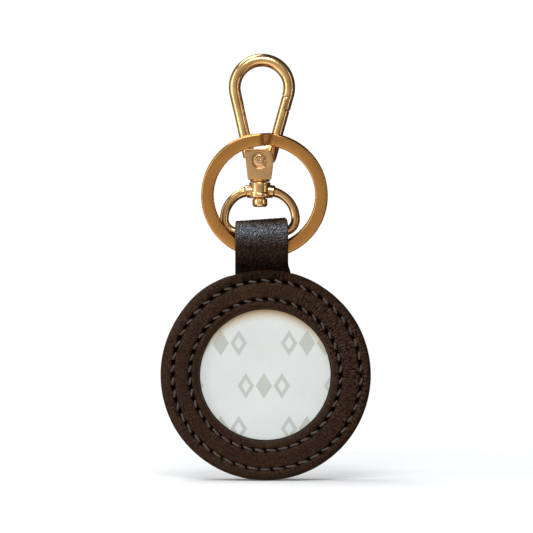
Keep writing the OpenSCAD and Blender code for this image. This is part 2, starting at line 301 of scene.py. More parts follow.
def leather(name, dark, mid, light, cell=0.62, depth=0.00011, rough=(0.40, 0.56), spec=0.35, stretch=(1.0, 1.0, 1.0), polish=None):
    m, nt, b = material(name)
    co = coords(nt)
    mp = node(nt, "ShaderNodeMapping")
    mp.inputs["Scale"].default_value = stretch
    mp.inputs["Rotation"].default_value = (0.0, math.radians(35), 0.0)
    nt.links.new(co, mp.inputs["Vector"])
    warp = node(nt, "ShaderNodeMixRGB", blend_type="LINEAR_LIGHT")
    warp.inputs[0].default_value = 0.0004
    nn = node(nt, "ShaderNodeTexNoise")
    nn.inputs["Scale"].default_value = 900
    nt.links.new(co, nn.inputs["Vector"])
    nt.links.new(mp.outputs[0], warp.inputs[1])
    nt.links.new(nn.outputs["Color"], warp.inputs[2])
    v = warp.outputs[0]
    cells = voronoi(nt, v, 1000.0 / cell, "SMOOTH_F1")
    edge = voronoi(nt, v, 1000.0 / cell, "DISTANCE_TO_EDGE")
    fine = noise(nt, co, 4200, 4.0, 0.6)
    broad = noise(nt, co, 130, 4.0, 0.6)
    broad2 = noise(nt, co, 520, 3.0, 0.6)
    crease = math_node(nt, "MULTIPLY", edge, 5.5, True)
    pebble = math_node(nt, "SUBTRACT", 1.0, cells)
    h = math_node(nt, "ADD", math_node(nt, "MULTIPLY", crease, 0.7), math_node(nt, "MULTIPLY", pebble, 0.45))
    n1 = bump(nt, h, depth, 1.0)
    n2 = bump(nt, fine, depth * 0.35, 0.8, n1)
    n3 = bump(nt, broad2, depth * 1.2, 0.5, n2)
    nt.links.new(n3, b.inputs["Normal"])
    mix = math_node(nt, "ADD", math_node(nt, "MULTIPLY", broad, 0.62), math_node(nt, "MULTIPLY", crease, 0.38))
    col = ramp(nt, mix, [(0.42, dark), (0.68, mid), (0.95, light)])
    # the mesh's own shade attribute is painted light: below nought it mixes in painted shade (needle holes, seam
    # channels, creases), above it a painted highlight (puckers, grain crests)
    at = node(nt, "ShaderNodeAttribute")
    at.attribute_name = "shade"
    low = math_node(nt, "MULTIPLY", at.outputs["Fac"], -1.0, True)
    high = math_node(nt, "MULTIPLY", at.outputs["Fac"], 1.0, True)
    painted_shade_mix = node(nt, "ShaderNodeMixRGB")
    nt.links.new(low, painted_shade_mix.inputs[0])
    nt.links.new(col, painted_shade_mix.inputs[1])
    # painted shade: near black in the needle holes, seam channels and creases
    painted_shade_mix.inputs[2].default_value = (0.0012, 0.0008, 0.0006, 1)
    painted_highlight_mix = node(nt, "ShaderNodeMixRGB")
    nt.links.new(high, painted_highlight_mix.inputs[0])
    nt.links.new(painted_shade_mix.outputs[0], painted_highlight_mix.inputs[1])
    # painted highlight: a greyish sheen colour on the puckers and grain crests
    painted_highlight_mix.inputs[2].default_value = (light[0] * 1.75, light[1] * 2.1, light[2] * 3.1, 1)
    nt.links.new(painted_highlight_mix.outputs[0], b.inputs["Base Color"])
    r = ramp(nt, math_node(nt, "ADD", math_node(nt, "MULTIPLY", crease, 0.4), math_node(nt, "MULTIPLY", broad2, 0.6)),
             [(0.25, (rough[1],) * 3), (0.8, (rough[0],) * 3)])
    nt.links.new(r, b.inputs["Roughness"])
    sp = math_node(nt, "MULTIPLY", math_node(nt, "SUBTRACT", 1.0, low), spec)
    if polish:
        # handling has polished the leather where it goes over the loop
        z0, z1, top = polish
        sep = node(nt, "ShaderNodeSeparateXYZ")
        nt.links.new(co, sep.inputs[0])
        zz = math_node(nt, "MULTIPLY", sep.outputs["Z"], 1000.0)
        up = math_node(nt, "DIVIDE", math_node(nt, "SUBTRACT", zz, z0), z1 - z0, True)
        up = math_node(nt, "MULTIPLY", up, math_node(nt, "DIVIDE", math_node(nt, "SUBTRACT", z1 + 3.4, zz), 1.3, True))
        sp = math_node(nt, "MULTIPLY", sp, math_node(nt, "ADD", 1.0, math_node(nt, "MULTIPLY", up, top / spec)))
        tint = ramp(nt, up, [(0.0, (1.0, 0.84, 0.70)), (1.0, (0.74, 0.86, 1.0))])
        nt.links.new(tint, b.inputs["Specular Tint"])
    else:
        b.inputs["Specular Tint"].default_value = (1.0, 0.86, 0.72, 1)
    nt.links.new(sp, b.inputs["Specular IOR Level"])
    return m


def metal(name, base, low, rough=(0.14, 0.26), brush=0.0, scale=700, depth=0.000012):
    m, nt, b = material(name)
    co = coords(nt)
    big = noise(nt, co, 260, 4.0, 0.6)
    small = noise(nt, co, scale * 4, 4.0, 0.65)
    col = ramp(nt, math_node(nt, "ADD", math_node(nt, "MULTIPLY", big, 0.75), math_node(nt, "MULTIPLY", small, 0.25)),
               [(0.3, low), (0.62, base)])
    nt.links.new(col, b.inputs["Base Color"])
    b.inputs["Metallic"].default_value = 1.0
    if brush:
        mp = node(nt, "ShaderNodeMapping")
        mp.inputs["Scale"].default_value = (0.05, 9.0, 1.0)
        nt.links.new(coords(nt, "UV"), mp.inputs["Vector"])
        streak = noise(nt, mp.outputs[0], 3.0, 5.0, 0.6)
        r = ramp(nt, streak, [(0.25, (rough[0],) * 3), (0.75, (rough[1],) * 3)])
        n2 = bump(nt, streak, brush, 0.6)
    else:
        r = ramp(nt, big, [(0.3, (rough[0],) * 3), (0.75, (rough[1],) * 3)])
        n2 = bump(nt, noise(nt, co, scale * 0.8, 2.0, 0.5), depth * 2.4, 0.6)
    nt.links.new(r, b.inputs["Roughness"])
    nt.links.new(n2, b.inputs["Normal"])
    b.inputs["Coat Weight"].default_value = 0.22
    b.inputs["Coat Roughness"].default_value = 0.10
    b.inputs["Coat IOR"].default_value = 1.8
    return m


def plastic(name, c1, c2, rough=0.5, scale=3000, depth=0.00001, spec=0.5):
    m, nt, b = material(name)
    co = coords(nt)
    n = noise(nt, co, scale, 4.0, 0.6)
    nt.links.new(ramp(nt, noise(nt, co, 180, 3.0), [(0.3, c1), (0.7, c2)]), b.inputs["Base Color"])
    r = ramp(nt, n, [(0.2, (rough * 0.85,) * 3), (0.8, (min(1, rough * 1.15),) * 3)])
    nt.links.new(r, b.inputs["Roughness"])
    nt.links.new(bump(nt, n, depth, 0.6), b.inputs["Normal"])
    b.inputs["Specular IOR Level"].default_value = spec
    return m


def thread_material(name):
    m, nt, b = material(name)
    co = coords(nt)
    fib = noise(nt, co, 9000, 3.0, 0.6)
    big = noise(nt, co, 500, 3.0, 0.6)
    col = ramp(nt, math_node(nt, "ADD", math_node(nt, "MULTIPLY", fib, 0.5), math_node(nt, "MULTIPLY", big, 0.5)),
               [(0.32, (0.014, 0.0085, 0.0055)), (0.72, (0.100, 0.073, 0.056))])
    nt.links.new(col, b.inputs["Base Color"])
    nt.links.new(bump(nt, fib, 0.00003, 0.7), b.inputs["Normal"])
    b.inputs["Roughness"].default_value = 0.5
    b.inputs["Sheen Weight"].default_value = 0.25
    return m


def liner_material(name):
    m, nt, b = material(name)
    co = coords(nt)
    sep = node(nt, "ShaderNodeSeparateXYZ")
    nt.links.new(co, sep.inputs[0])
    x = math_node(nt, "MULTIPLY", math_node(nt, "SUBTRACT", sep.outputs["X"], DX * MM), 1000.0)
    z = math_node(nt, "MULTIPLY", math_node(nt, "SUBTRACT", sep.outputs["Z"], DZ * MM), 1000.0)
    px, pz = 20.6, 10.2
    row = math_node(nt, "DIVIDE", math_node(nt, "ADD", z, 2.64 + pz / 2), pz)
    r0 = math_node(nt, "FLOOR", row)
    v = math_node(nt, "ABSOLUTE", math_node(nt, "SUBTRACT", math_node(nt, "SUBTRACT", row, r0), 0.5))
    half = math_node(nt, "MULTIPLY", r0, 0.5)
    colm = math_node(nt, "ADD", math_node(nt, "DIVIDE", math_node(nt, "ADD", x, 0.34 + px / 2), px), half)
    u = math_node(nt, "ABSOLUTE", math_node(nt, "SUBTRACT", math_node(nt, "SUBTRACT", colm, math_node(nt, "FLOOR", colm)), 0.5))
    # three diamonds side by side in each cell: the middle one whole, the outer two outlined
    u3 = math_node(nt, "MULTIPLY", u, px)
    side = math_node(nt, "ABSOLUTE", math_node(nt, "SUBTRACT", u3, 4.3))
    vv = math_node(nt, "MULTIPLY", v, pz / 3.1)
    d0 = math_node(nt, "ADD", math_node(nt, "DIVIDE", u3, 2.0), vv)
    d1 = math_node(nt, "ADD", math_node(nt, "DIVIDE", side, 2.0), vv)
    solid = math_node(nt, "SUBTRACT", 1.0, math_node(nt, "MULTIPLY", math_node(nt, "SUBTRACT", d0, 0.96), 14.0, True))
    outer = math_node(nt, "SUBTRACT", 1.0, math_node(nt, "MULTIPLY", math_node(nt, "SUBTRACT", d1, 0.96), 14.0, True))
    inner = math_node(nt, "MULTIPLY", math_node(nt, "SUBTRACT", d1, 0.46), 14.0, True)
    ink = math_node(nt, "ADD", math_node(nt, "MULTIPLY", outer, inner), solid, True)
    ink = math_node(nt, "MULTIPLY", ink, 0.92)
    fibre = noise(nt, co, 1500, 5.0, 0.6)
    cloud = noise(nt, co, 90, 3.0, 0.5)
    paper = ramp(nt, math_node(nt, "ADD", math_node(nt, "MULTIPLY", fibre, 0.35), math_node(nt, "MULTIPLY", cloud, 0.65)),
                 [(0.3, (0.655, 0.700, 0.672)), (0.7, (0.735, 0.782, 0.755))])
    mix = node(nt, "ShaderNodeMixRGB")
    nt.links.new(ink, mix.inputs[0])
    nt.links.new(paper, mix.inputs[1])
    mix.inputs[2].default_value = (0.50, 0.525, 0.475, 1)
    # painted shade with a warm painted reflection from the leather wall, under the top of the recess
    x2 = math_node(nt, "MULTIPLY", x, x)
    zz = math_node(nt, "ADD", z, 2.6)
    rr = math_node(nt, "SQRT", math_node(nt, "ADD", x2, math_node(nt, "MULTIPLY", zz, zz)))
    tint = math_node(nt, "DIVIDE", math_node(nt, "SUBTRACT", rr, 15.65), 2.5, True)
    painted_warm_shadow_mix = node(nt, "ShaderNodeMixRGB")
    nt.links.new(tint, painted_warm_shadow_mix.inputs[0])
    nt.links.new(mix.outputs[0], painted_warm_shadow_mix.inputs[1])
    painted_warm_shadow_mix.inputs[2].default_value = (0.55, 0.36, 0.16, 1)
    nt.links.new(painted_warm_shadow_mix.outputs[0], b.inputs["Base Color"])
    nt.links.new(bump(nt, fibre, 0.00002, 0.5), b.inputs["Normal"])
    b.inputs["Roughness"].default_value = 0.38
    b.inputs["Specular IOR Level"].default_value = 0.45
    b.inputs["Coat Weight"].default_value = 0.25
    b.inputs["Coat Roughness"].default_value = 0.3
    return m


M_COVER = leather("leather_cover", (0.0150, 0.0056, 0.0019), (0.0345, 0.0138, 0.0050), (0.060, 0.0285, 0.0125), 0.50, 0.00009, (0.32, 0.46), 0.15)
M_STRAP = leather("leather_strap", (0.0075, 0.0026, 0.0011), (0.0190, 0.0080, 0.0040), (0.042, 0.0225, 0.0135), 0.62, 0.00006, (0.25, 0.35), 0.12, (1.0, 1.0, 0.62), (-43.3, -40.4, 0.85))
M_BACK = leather("leather_back", (0.0120, 0.0050, 0.0022), (0.0260, 0.0112, 0.0046), (0.046, 0.0225, 0.0110), 0.60, 0.00013, (0.40, 0.54), 0.18)
M_THREAD = thread_material("seam_thread")
M_LINER = liner_material("release_paper")
M_HOOK = metal("hook_gold", (0.87, 0.54, 0.235), (0.58, 0.315, 0.110), (0.13, 0.24))
M_RING = metal("ring_brass", (0.575, 0.265, 0.062), (0.485, 0.210, 0.044), (0.17, 0.29), brush=0.000008)
M_RIVET = metal("rivet_gold", (0.88, 0.58, 0.31), (0.70, 0.41, 0.19), (0.18, 0.30))
M_SPRING = metal("spring_steel", (0.62, 0.62, 0.64), (0.50, 0.50, 0.52), (0.22, 0.34))
M_CELL = metal("cell_steel", (0.68, 0.68, 0.69), (0.58, 0.58, 0.60), (0.22, 0.36))
M_CONTACT = metal("contact_metal", (0.70, 0.64, 0.50), (0.60, 0.54, 0.42), (0.22, 0.36))
M_SOUNDER = metal("sounder_brass", (0.72, 0.54, 0.26), (0.62, 0.44, 0.20), (0.25, 0.4))
M_FOAM = plastic("padding_foam", (0.50, 0.45, 0.38), (0.60, 0.55, 0.46), 0.85, 2600, 0.00008, 0.3)
M_BOARD = plastic("core_board", (0.17, 0.11, 0.07), (0.26, 0.17, 0.11), 0.8, 1500, 0.00005, 0.3)
M_ADH = plastic("adhesive_foam", (0.74, 0.72, 0.66), (0.82, 0.80, 0.74), 0.6, 1800, 0.00003, 0.4)
M_SHELL = plastic("shell_plastic", (0.66, 0.66, 0.66), (0.74, 0.74, 0.74), 0.5)
M_PCB = plastic("board_laminate", (0.02, 0.10, 0.04), (0.04, 0.15, 0.06), 0.35)
M_CHIP = plastic("chip_plastic", (0.015, 0.015, 0.017), (0.03, 0.03, 0.032), 0.45)


# ------------------------------------------------------------------ the leather body
def to_row(x, y, h):
    """body frame (across, up, towards the front) to the row frame"""
    return np.stack([DX + x, TY - h, DZ + y], -1)


def smooth01(t):
    t = np.clip(t, 0, 1)
    return t * t * (3 - 2 * t)


def value_noise(theta, r, k, seed, kr=1.0):
    g = np.random.default_rng(seed)
    out = np.zeros_like(theta)
    for i in range(10):
        f = g.integers(2, 2 + k)
        out += g.normal() / (1 + 0.12 * f) * np.cos(f * theta + g.uniform(0, 6.28) + kr * g.normal() * (r - 20) * 0.5)
    return out / 3.0


def pebble(a, b, seed, wrap=64, jitter=0.9):
    """leather grain in cells of one unit: 1 on top of a pebble, 0 in the crease between two; b repeats after wrap"""
    tab = np.random.default_rng(seed).random((64, wrap, 2))
    ia, ib = np.floor(a).astype(int), np.floor(b).astype(int)
    f1 = np.full(np.shape(a), 9.0)
    f2 = f1.copy()
    for di in (-1, 0, 1):
        for dj in (-1, 0, 1):
            ci, cj = ia + di, ib + dj
            t = tab[ci % 64, cj % wrap]
            d = np.hypot(ci + 0.5 + (t[..., 0] - 0.5) * jitter - a, cj + 0.5 + (t[..., 1] - 0.5) * jitter - b)
            f2 = np.minimum(f2, np.maximum(f1, d))
            f1 = np.minimum(f1, d)
    return smooth01((f2 - f1) / 0.34) * (1 - 0.45 * f1 * f1)


def seam_shift(theta):
    """the outer seam isn't quite centred on the disc"""
    return 0.16 + 0.38 * np.cos(theta)


def low_arc(theta):
    """1 at the bottom of the disc, 0 at the top and sides"""
    d = np.angle(np.exp(1j * (theta - math.radians(262))))
    return np.exp(-((d / math.radians(52)) ** 4))


def seam_relief(theta, r, rs, n, seed, side=1.0):
    """what the stitches do to the leather: a channel, a pit at each needle hole, and puckers running away from it"""
    g = np.random.default_rng(seed)
    pitch = 2 * math.pi / n
    k = np.floor(theta / pitch + 0.5).astype(int)
    dt = (theta - k * pitch) * rs
    amp = g.uniform(0.6, 1.35, n)[k % n]
    amp_in = g.uniform(0.5, 1.4, n)[k % n]
    jog = g.normal(0, 0.10, n)[k % n]
    big = g.uniform(0.85, 1.2, n)[k % n]
    # puckering is stronger at the right and upper right
    strong = 0.75 + 0.55 * np.cos(theta - math.radians(28))
    d = r - rs
    out = -0.26 * np.exp(-((d / 0.44) ** 2)) - 0.13 * np.exp(-((d / 1.0) ** 2))
    long_ = 0.80 - 0.30 * low_arc(theta)
    pit = np.exp(-np.abs((dt - 0.30 * d) / (long_ * big)) ** 3 - ((d - jog * 0.4) / 0.33) ** 2)
    out += -0.62 * pit
    reach = np.where(d > 0, 1.15, 0.95)
    fold = np.exp(-(((dt - jog * np.abs(d)) / 0.30) ** 2)) * np.exp(-np.abs(d) / reach) * np.where(d > 0, amp, amp_in)
    out += -0.13 * side * strong * fold
    puff = 0.5 - 0.5 * np.cos(2 * math.pi * (theta / pitch))
    out += 0.085 * side * strong * puff * np.exp(-(((np.abs(d) - 0.72) / 0.40) ** 2))
    # painted light for the seam: painted shade in each needle hole and along the channel, a painted highlight on the
    # puckers
    shade = -1.25 * pit - 0.35 * np.exp(-((d / 0.34) ** 2)) + 0.16 * puff * np.exp(-(((np.abs(d) - 0.66) / 0.30) ** 2))
    return out, shade


def cross_wrinkles(theta, r):
    """fine creases that run across the leather between the seams, mostly at the right and upper right"""
    out = np.zeros_like(theta)
    g = np.random.default_rng(77)
    for i in range(7):
        f = int(g.integers(105, 205))
        bend = g.normal(0, 0.55) * (r - 20.2) + 0.9 * np.sin(5 * theta + i) + g.uniform(0, 6.28)
        w = 1 - np.abs(np.cos(0.5 * (f * theta + bend)))
        patch = np.clip(np.cos(g.integers(3, 9) * theta + g.uniform(0, 6.28) + (r - 20) * g.normal(0, 0.35)), 0, 1)
        out += -(1 - w) ** 6 * patch * g.uniform(0.6, 1.2)
    where = 0.22 + 0.95 * np.exp(-(((np.angle(np.exp(1j * (theta - math.radians(22))))) / math.radians(48)) ** 2))
    where += 0.30 * np.exp(-(((np.angle(np.exp(1j * (theta - math.radians(262))))) / math.radians(40)) ** 2))
    band_ = np.exp(-(((r - 20.4) / 2.9) ** 4))
    return out * where * band_


def build_cover():
    notch = (math.radians(90 - 12.95), math.radians(90 + 17.95))     # where the strap comes out
    eps = 0.0016
    base = np.linspace(0, 2 * math.pi, 1288, endpoint=False)
    base = base[(np.abs(base - notch[0]) > 2.2 * eps) & (np.abs(base - notch[1]) > 2.2 * eps)]
    th = np.sort(np.r_[base, notch[0] - eps, notch[0] + eps, notch[1] - eps, notch[1] + eps])
    inside = (th > notch[0]) & (th < notch[1])
    soft = smooth01((th - notch[0] + 0.05) / 0.05) * smooth01((notch[1] + 0.05 - th) / 0.05)
    roll = 1.75 - 0.72 * soft
    end = np.where(inside, 3.12, -3.04)
    prof = []            # (kind, a, b): how each point of the section is placed
    prof += [("fix", 19.4, 2.02), ("fix", 17.5, 2.0), ("fix", 16.3, 2.0), ("fix", 16.15, 2.1), ("fix", 16.1, 2.45)]
    prof += [("fix", 15.75, 2.60), ("fix", 15.58, 2.66), ("fix", 15.55, 2.75), ("fix", 15.60, 2.9), ("fix", 15.72, 3.02)]
    prof += [("win", a, 0) for a in np.linspace(176, 92, 15)]
    prof += [("top", r, 0) for r in np.arange(16.95, 23.01, 0.115)]
    prof += [("out", a, 0) for a in np.linspace(88, 0, 16)]
    prof += [("wall", u, 0) for u in np.linspace(0.08, 0.97, 12)]
    prof += [("fixe", 24.93, -0.04), ("fixe", 24.1, -0.04), ("fixe", 23.95, 0.05), ("fixu", 23.9, 3.0), ("fix", 23.6, 3.12), ("fix", 21.5, 3.12), ("fix", 19.45, 3.1)]
    n, m = len(th), len(prof)
    T = np.repeat(th[:, None], m, 1)
    R = np.zeros((n, m))
    H = np.zeros((n, m))
    F = np.zeros(m)
    for j, (kind, a, b) in enumerate(prof):
        if kind == "fix":
            R[:, j], H[:, j] = a, b
        elif kind == "fixe":
            R[:, j], H[:, j] = a, end + b
        elif kind == "fixu":
            R[:, j], H[:, j] = a, np.maximum(end + 0.05, b)
        elif kind == "win":
            c, s = math.cos(math.radians(a)), math.sin(math.radians(a))
            R[:, j], H[:, j] = R_WIN + 1.12 + 1.12 * c, 3.08 + 1.12 * s
            F[j] = max(0, s) ** 2
        elif kind == "top":
            R[:, j], H[:, j] = a, 4.2
            F[j] = 1
        elif kind == "out":
            c, s = math.cos(math.radians(a)), math.sin(math.radians(a))
            R[:, j] = R_OUT - roll + roll * c
            H[:, j] = HALF - roll + roll * s
            F[j] = max(0, s) ** 1.5
        elif kind == "wall":
            top = HALF - roll
            H[:, j] = top + (end - top) * a
            R[:, j] = R_OUT - 0.10 * math.sin(math.pi * a) * np.where(inside, 0, 1)
    # the padded band between the seams, and the softer crown outside and inside them
    crown = 0.22 * np.clip(1 - ((R - 20.15) / 1.95) ** 2, 0, 1) ** 0.8
    crown += 0.05 * np.exp(-(((R - 23.3) / 0.5) ** 2)) + 0.04 * np.exp(-(((R - 16.95) / 0.4) ** 2))
    so, sho = seam_relief(T, R, R_SEAM_O, N_O, 3)
    si, shi = seam_relief(T, R, R_SEAM_I, N_I, 5, 0.8)
    cw = cross_wrinkles(T, R)
    # the grain: pebbles drawn out into short creases across the band, most at the right
    turn = 0.7 * value_noise(T, R, 40, 51, 1.0)
    ga = pebble(R / 1.55 + turn, T / (2 * math.pi) * 172 + 0.8 * value_noise(T, R, 30, 52, 1.2) * (R - 20) * 0.4, 53, 172)
    gb = pebble(R / 0.47, T / (2 * math.pi) * 270 + 0.4 * turn, 54, 270)
    side_ = np.exp(-(((np.angle(np.exp(1j * (T - math.radians(18))))) / math.radians(62)) ** 4))
    patch = 0.6 + 0.5 * value_noise(T, R, 22, 55, 1.0)
    ga_w = np.clip(0.34 + 0.62 * side_, 0, 1) * patch
    grain = 0.190 * (ga - 0.7) * ga_w + 0.066 * (gb - 0.7)
    # painted light on the grain: painted highlight on the pebble crests, painted shade in the creases between them
    grain_and_strap_painted_light = (ga - 0.50) * ga_w * 1.25 + (gb - 0.52) * 0.62
    grain_and_strap_painted_light = np.where(grain_and_strap_painted_light < 0, 1.45 * grain_and_strap_painted_light, 0.68 * grain_and_strap_painted_light)
    # painted shadow of the strap: the leather above the outer seam at the top is darkened
    grain_and_strap_painted_light = grain_and_strap_painted_light - 0.55 * np.exp(-(((T - math.radians(92)) / math.radians(28)) ** 2)) * smooth01((R - 21.5) / 2)
    rel = crown + so + si + 0.028 * cw + grain
    # all of this is painted light on the front face: painted shade in needle holes, seam channels and cross creases,
    # painted highlight on puckers and crests
    shade = np.clip((sho + shi + 0.10 * cw + grain_and_strap_painted_light) * F[None, :], -1, 1)
    rel += 0.035 * value_noise(T, R, 14, 8) + 0.018 * value_noise(T, R, 60, 9, 2.0)
    edge = 0.06 * value_noise(T, R, 10, 12)
    H = H + rel * F[None, :]
    R = R + (edge + 0.02 * value_noise(T, R, 70, 15)) * np.where(R > 24.2, 0.55, 0) * (1 - soft[:, None])
    R = R + 0.05 * value_noise(T, R, 8, 22) * np.where(R < 16.4, 0.6, 0)
    top_left = np.exp(-(((T - math.radians(126)) / math.radians(15)) ** 2))
    bulge = 0.10 + 0.11 * np.cos(T + math.radians(45)) + 0.34 * top_left
    R = R + bulge * smooth01((R - 22.6) / 1.9) * (1 - soft[:, None]) * np.where(np.arange(m) < m - 3, 1, 0)[None, :]
    R = R + seam_shift(T) * np.exp(-(((R - 22.0) / 1.5) ** 2)) * np.where(H > 3.4, 1, 0)
    V = to_row(R * np.cos(T), R * np.sin(T), H).reshape(-1, 3)
    ob = make("cover_leather", V, grid(n, m, True, True), M_COVER, sharp=60, shade=shade)
    return fix_normals(ob)


def build_back():
    th = np.linspace(0, 2 * math.pi, 800, endpoint=False)
    rr = np.r_[np.linspace(0.4, 20.5, 74), np.arange(20.65, 23.6, 0.12)]
    prof = [("top", r, 0) for r in rr]
    prof += [("out", a, 0) for a in np.linspace(88, 0, 12)]
    prof += [("fix", 24.9, 3.08), ("fix", 24.0, 3.08), ("fix", 12.0, 3.1), ("fix", 0.4, 3.1)]
    n, m = len(th), len(prof)
    T = np.repeat(th[:, None], m, 1)
    R = np.zeros((n, m))
    H = np.zeros((n, m))
    F = np.zeros(m)
    for j, (kind, a, b) in enumerate(prof):
        if kind == "top":
            R[:, j], H[:, j], F[j] = a, 4.2, 1
        elif kind == "out":
            c, s = math.cos(math.radians(a)), math.sin(math.radians(a))
            R[:, j], H[:, j], F[j] = R_OUT - 1.25 + 1.25 * c, 4.2 - 1.25 + 1.25 * s, max(0, s) ** 1.5
        else:
            R[:, j], H[:, j] = a, b
    rel, shd = seam_relief(T, R, R_SEAM_O, N_O, 31, 0.6)
    rel = rel * 0.9 + (0.02 * value_noise(T, R, 14, 33)) * smooth01((R - 3) / 8)
    bx, by = R * np.cos(T), R * np.sin(T)
    gk = pebble(bx / 1.15 + 0.4 * value_noise(T, R, 30, 58), by / 1.0, 57)
    # painted light on the back's grain: painted shade in the creases, painted highlight on the pebbles
    shd = shd + 0.5 * (gk - 0.55)
    rel = rel + 0.03 * (gk - 1.0)
    H = H + np.minimum(rel * F[None, :], 0.0)
    shd = np.clip(shd * F[None, :], -1, 1).ravel()
    V = to_row(R * np.cos(T), R * np.sin(T), -H).reshape(-1, 3)
    F_ = grid(n, m, True, False).tolist()
    k = len(V)
    V = np.vstack([V, to_row(np.array([0.0]), np.array([0.0]), np.array([-4.2])), to_row(np.array([0.0]), np.array([0.0]), np.array([-3.1]))])
    F_ += [[i * m, ((i + 1) % n) * m, k] for i in range(n)]
    F_ += [[i * m + m - 1, ((i + 1) % n) * m + m - 1, k + 1] for i in range(n)]
    return fix_normals(make("back_leather", V, F_, M_BACK, sharp=60, shade=np.r_[shd, 0, 0]))


def build_threads(name, rs, n, h0, length, face, slant, seed):
    """three-ply twisted thread, one short run between needle holes for each stitch"""
    g = np.random.default_rng(seed)
    steps, sides = 24, 12
    V, F = [], []
    s = np.linspace(-1, 1, steps)
    for i in range(n):
        a = (i + 0.5) * 2 * math.pi / n
        low = float(low_arc(a)) if face > 0 else 0.6
        L = length * g.uniform(0.93, 1.05) * (0.74 + 0.26 * low)
        tilt = math.radians(slant * (1.9 - 0.9 * low) + g.normal(0, 4.0))
        off = g.normal(0, 0.03)
        along = s * L / 2
        rad = rs + off + along * math.sin(tilt) + (float(seam_shift(a)) if rs > 20 and face > 0 else 0)
        tang = along * math.cos(tilt)
        dive = np.clip((np.abs(s) - 0.50) / 0.50, 0, 1)
        h = h0 + 0.03 * (1 - s * s) - 0.62 * dive ** 2.0
        slope = np.gradient(h, tang)
        thick = 0.245 * (1 - 0.20 * dive)
        for k in range(steps):
            ph = np.linspace(0, 2 * math.pi, sides, endpoint=False)
            tw = 2 * math.pi * tang[k] / 1.25
            rr = thick[k] * (1 + 0.16 * np.cos(3 * (ph + tw)))
            u, w = rr * np.cos(ph), rr * np.sin(ph) * 0.92
            nrm = 1 / math.hypot(1, slope[k])
            px = rad[k] + u
            pt = tang[k] - w * slope[k] * nrm
            ph_ = h[k] + w * nrm
            x = px * math.cos(a) - pt * math.sin(a)
            y = px * math.sin(a) + pt * math.cos(a)
            V.append(to_row(x, y, ph_ * face))
        o = i * steps * sides
        F += (grid(steps, sides, False, True) + o).tolist()
        F += [[o + j for j in range(sides)], [o + (steps - 1) * sides + j for j in range(sides)][::-1]]
    return fix_normals(make(name, np.vstack(V), F, M_THREAD))


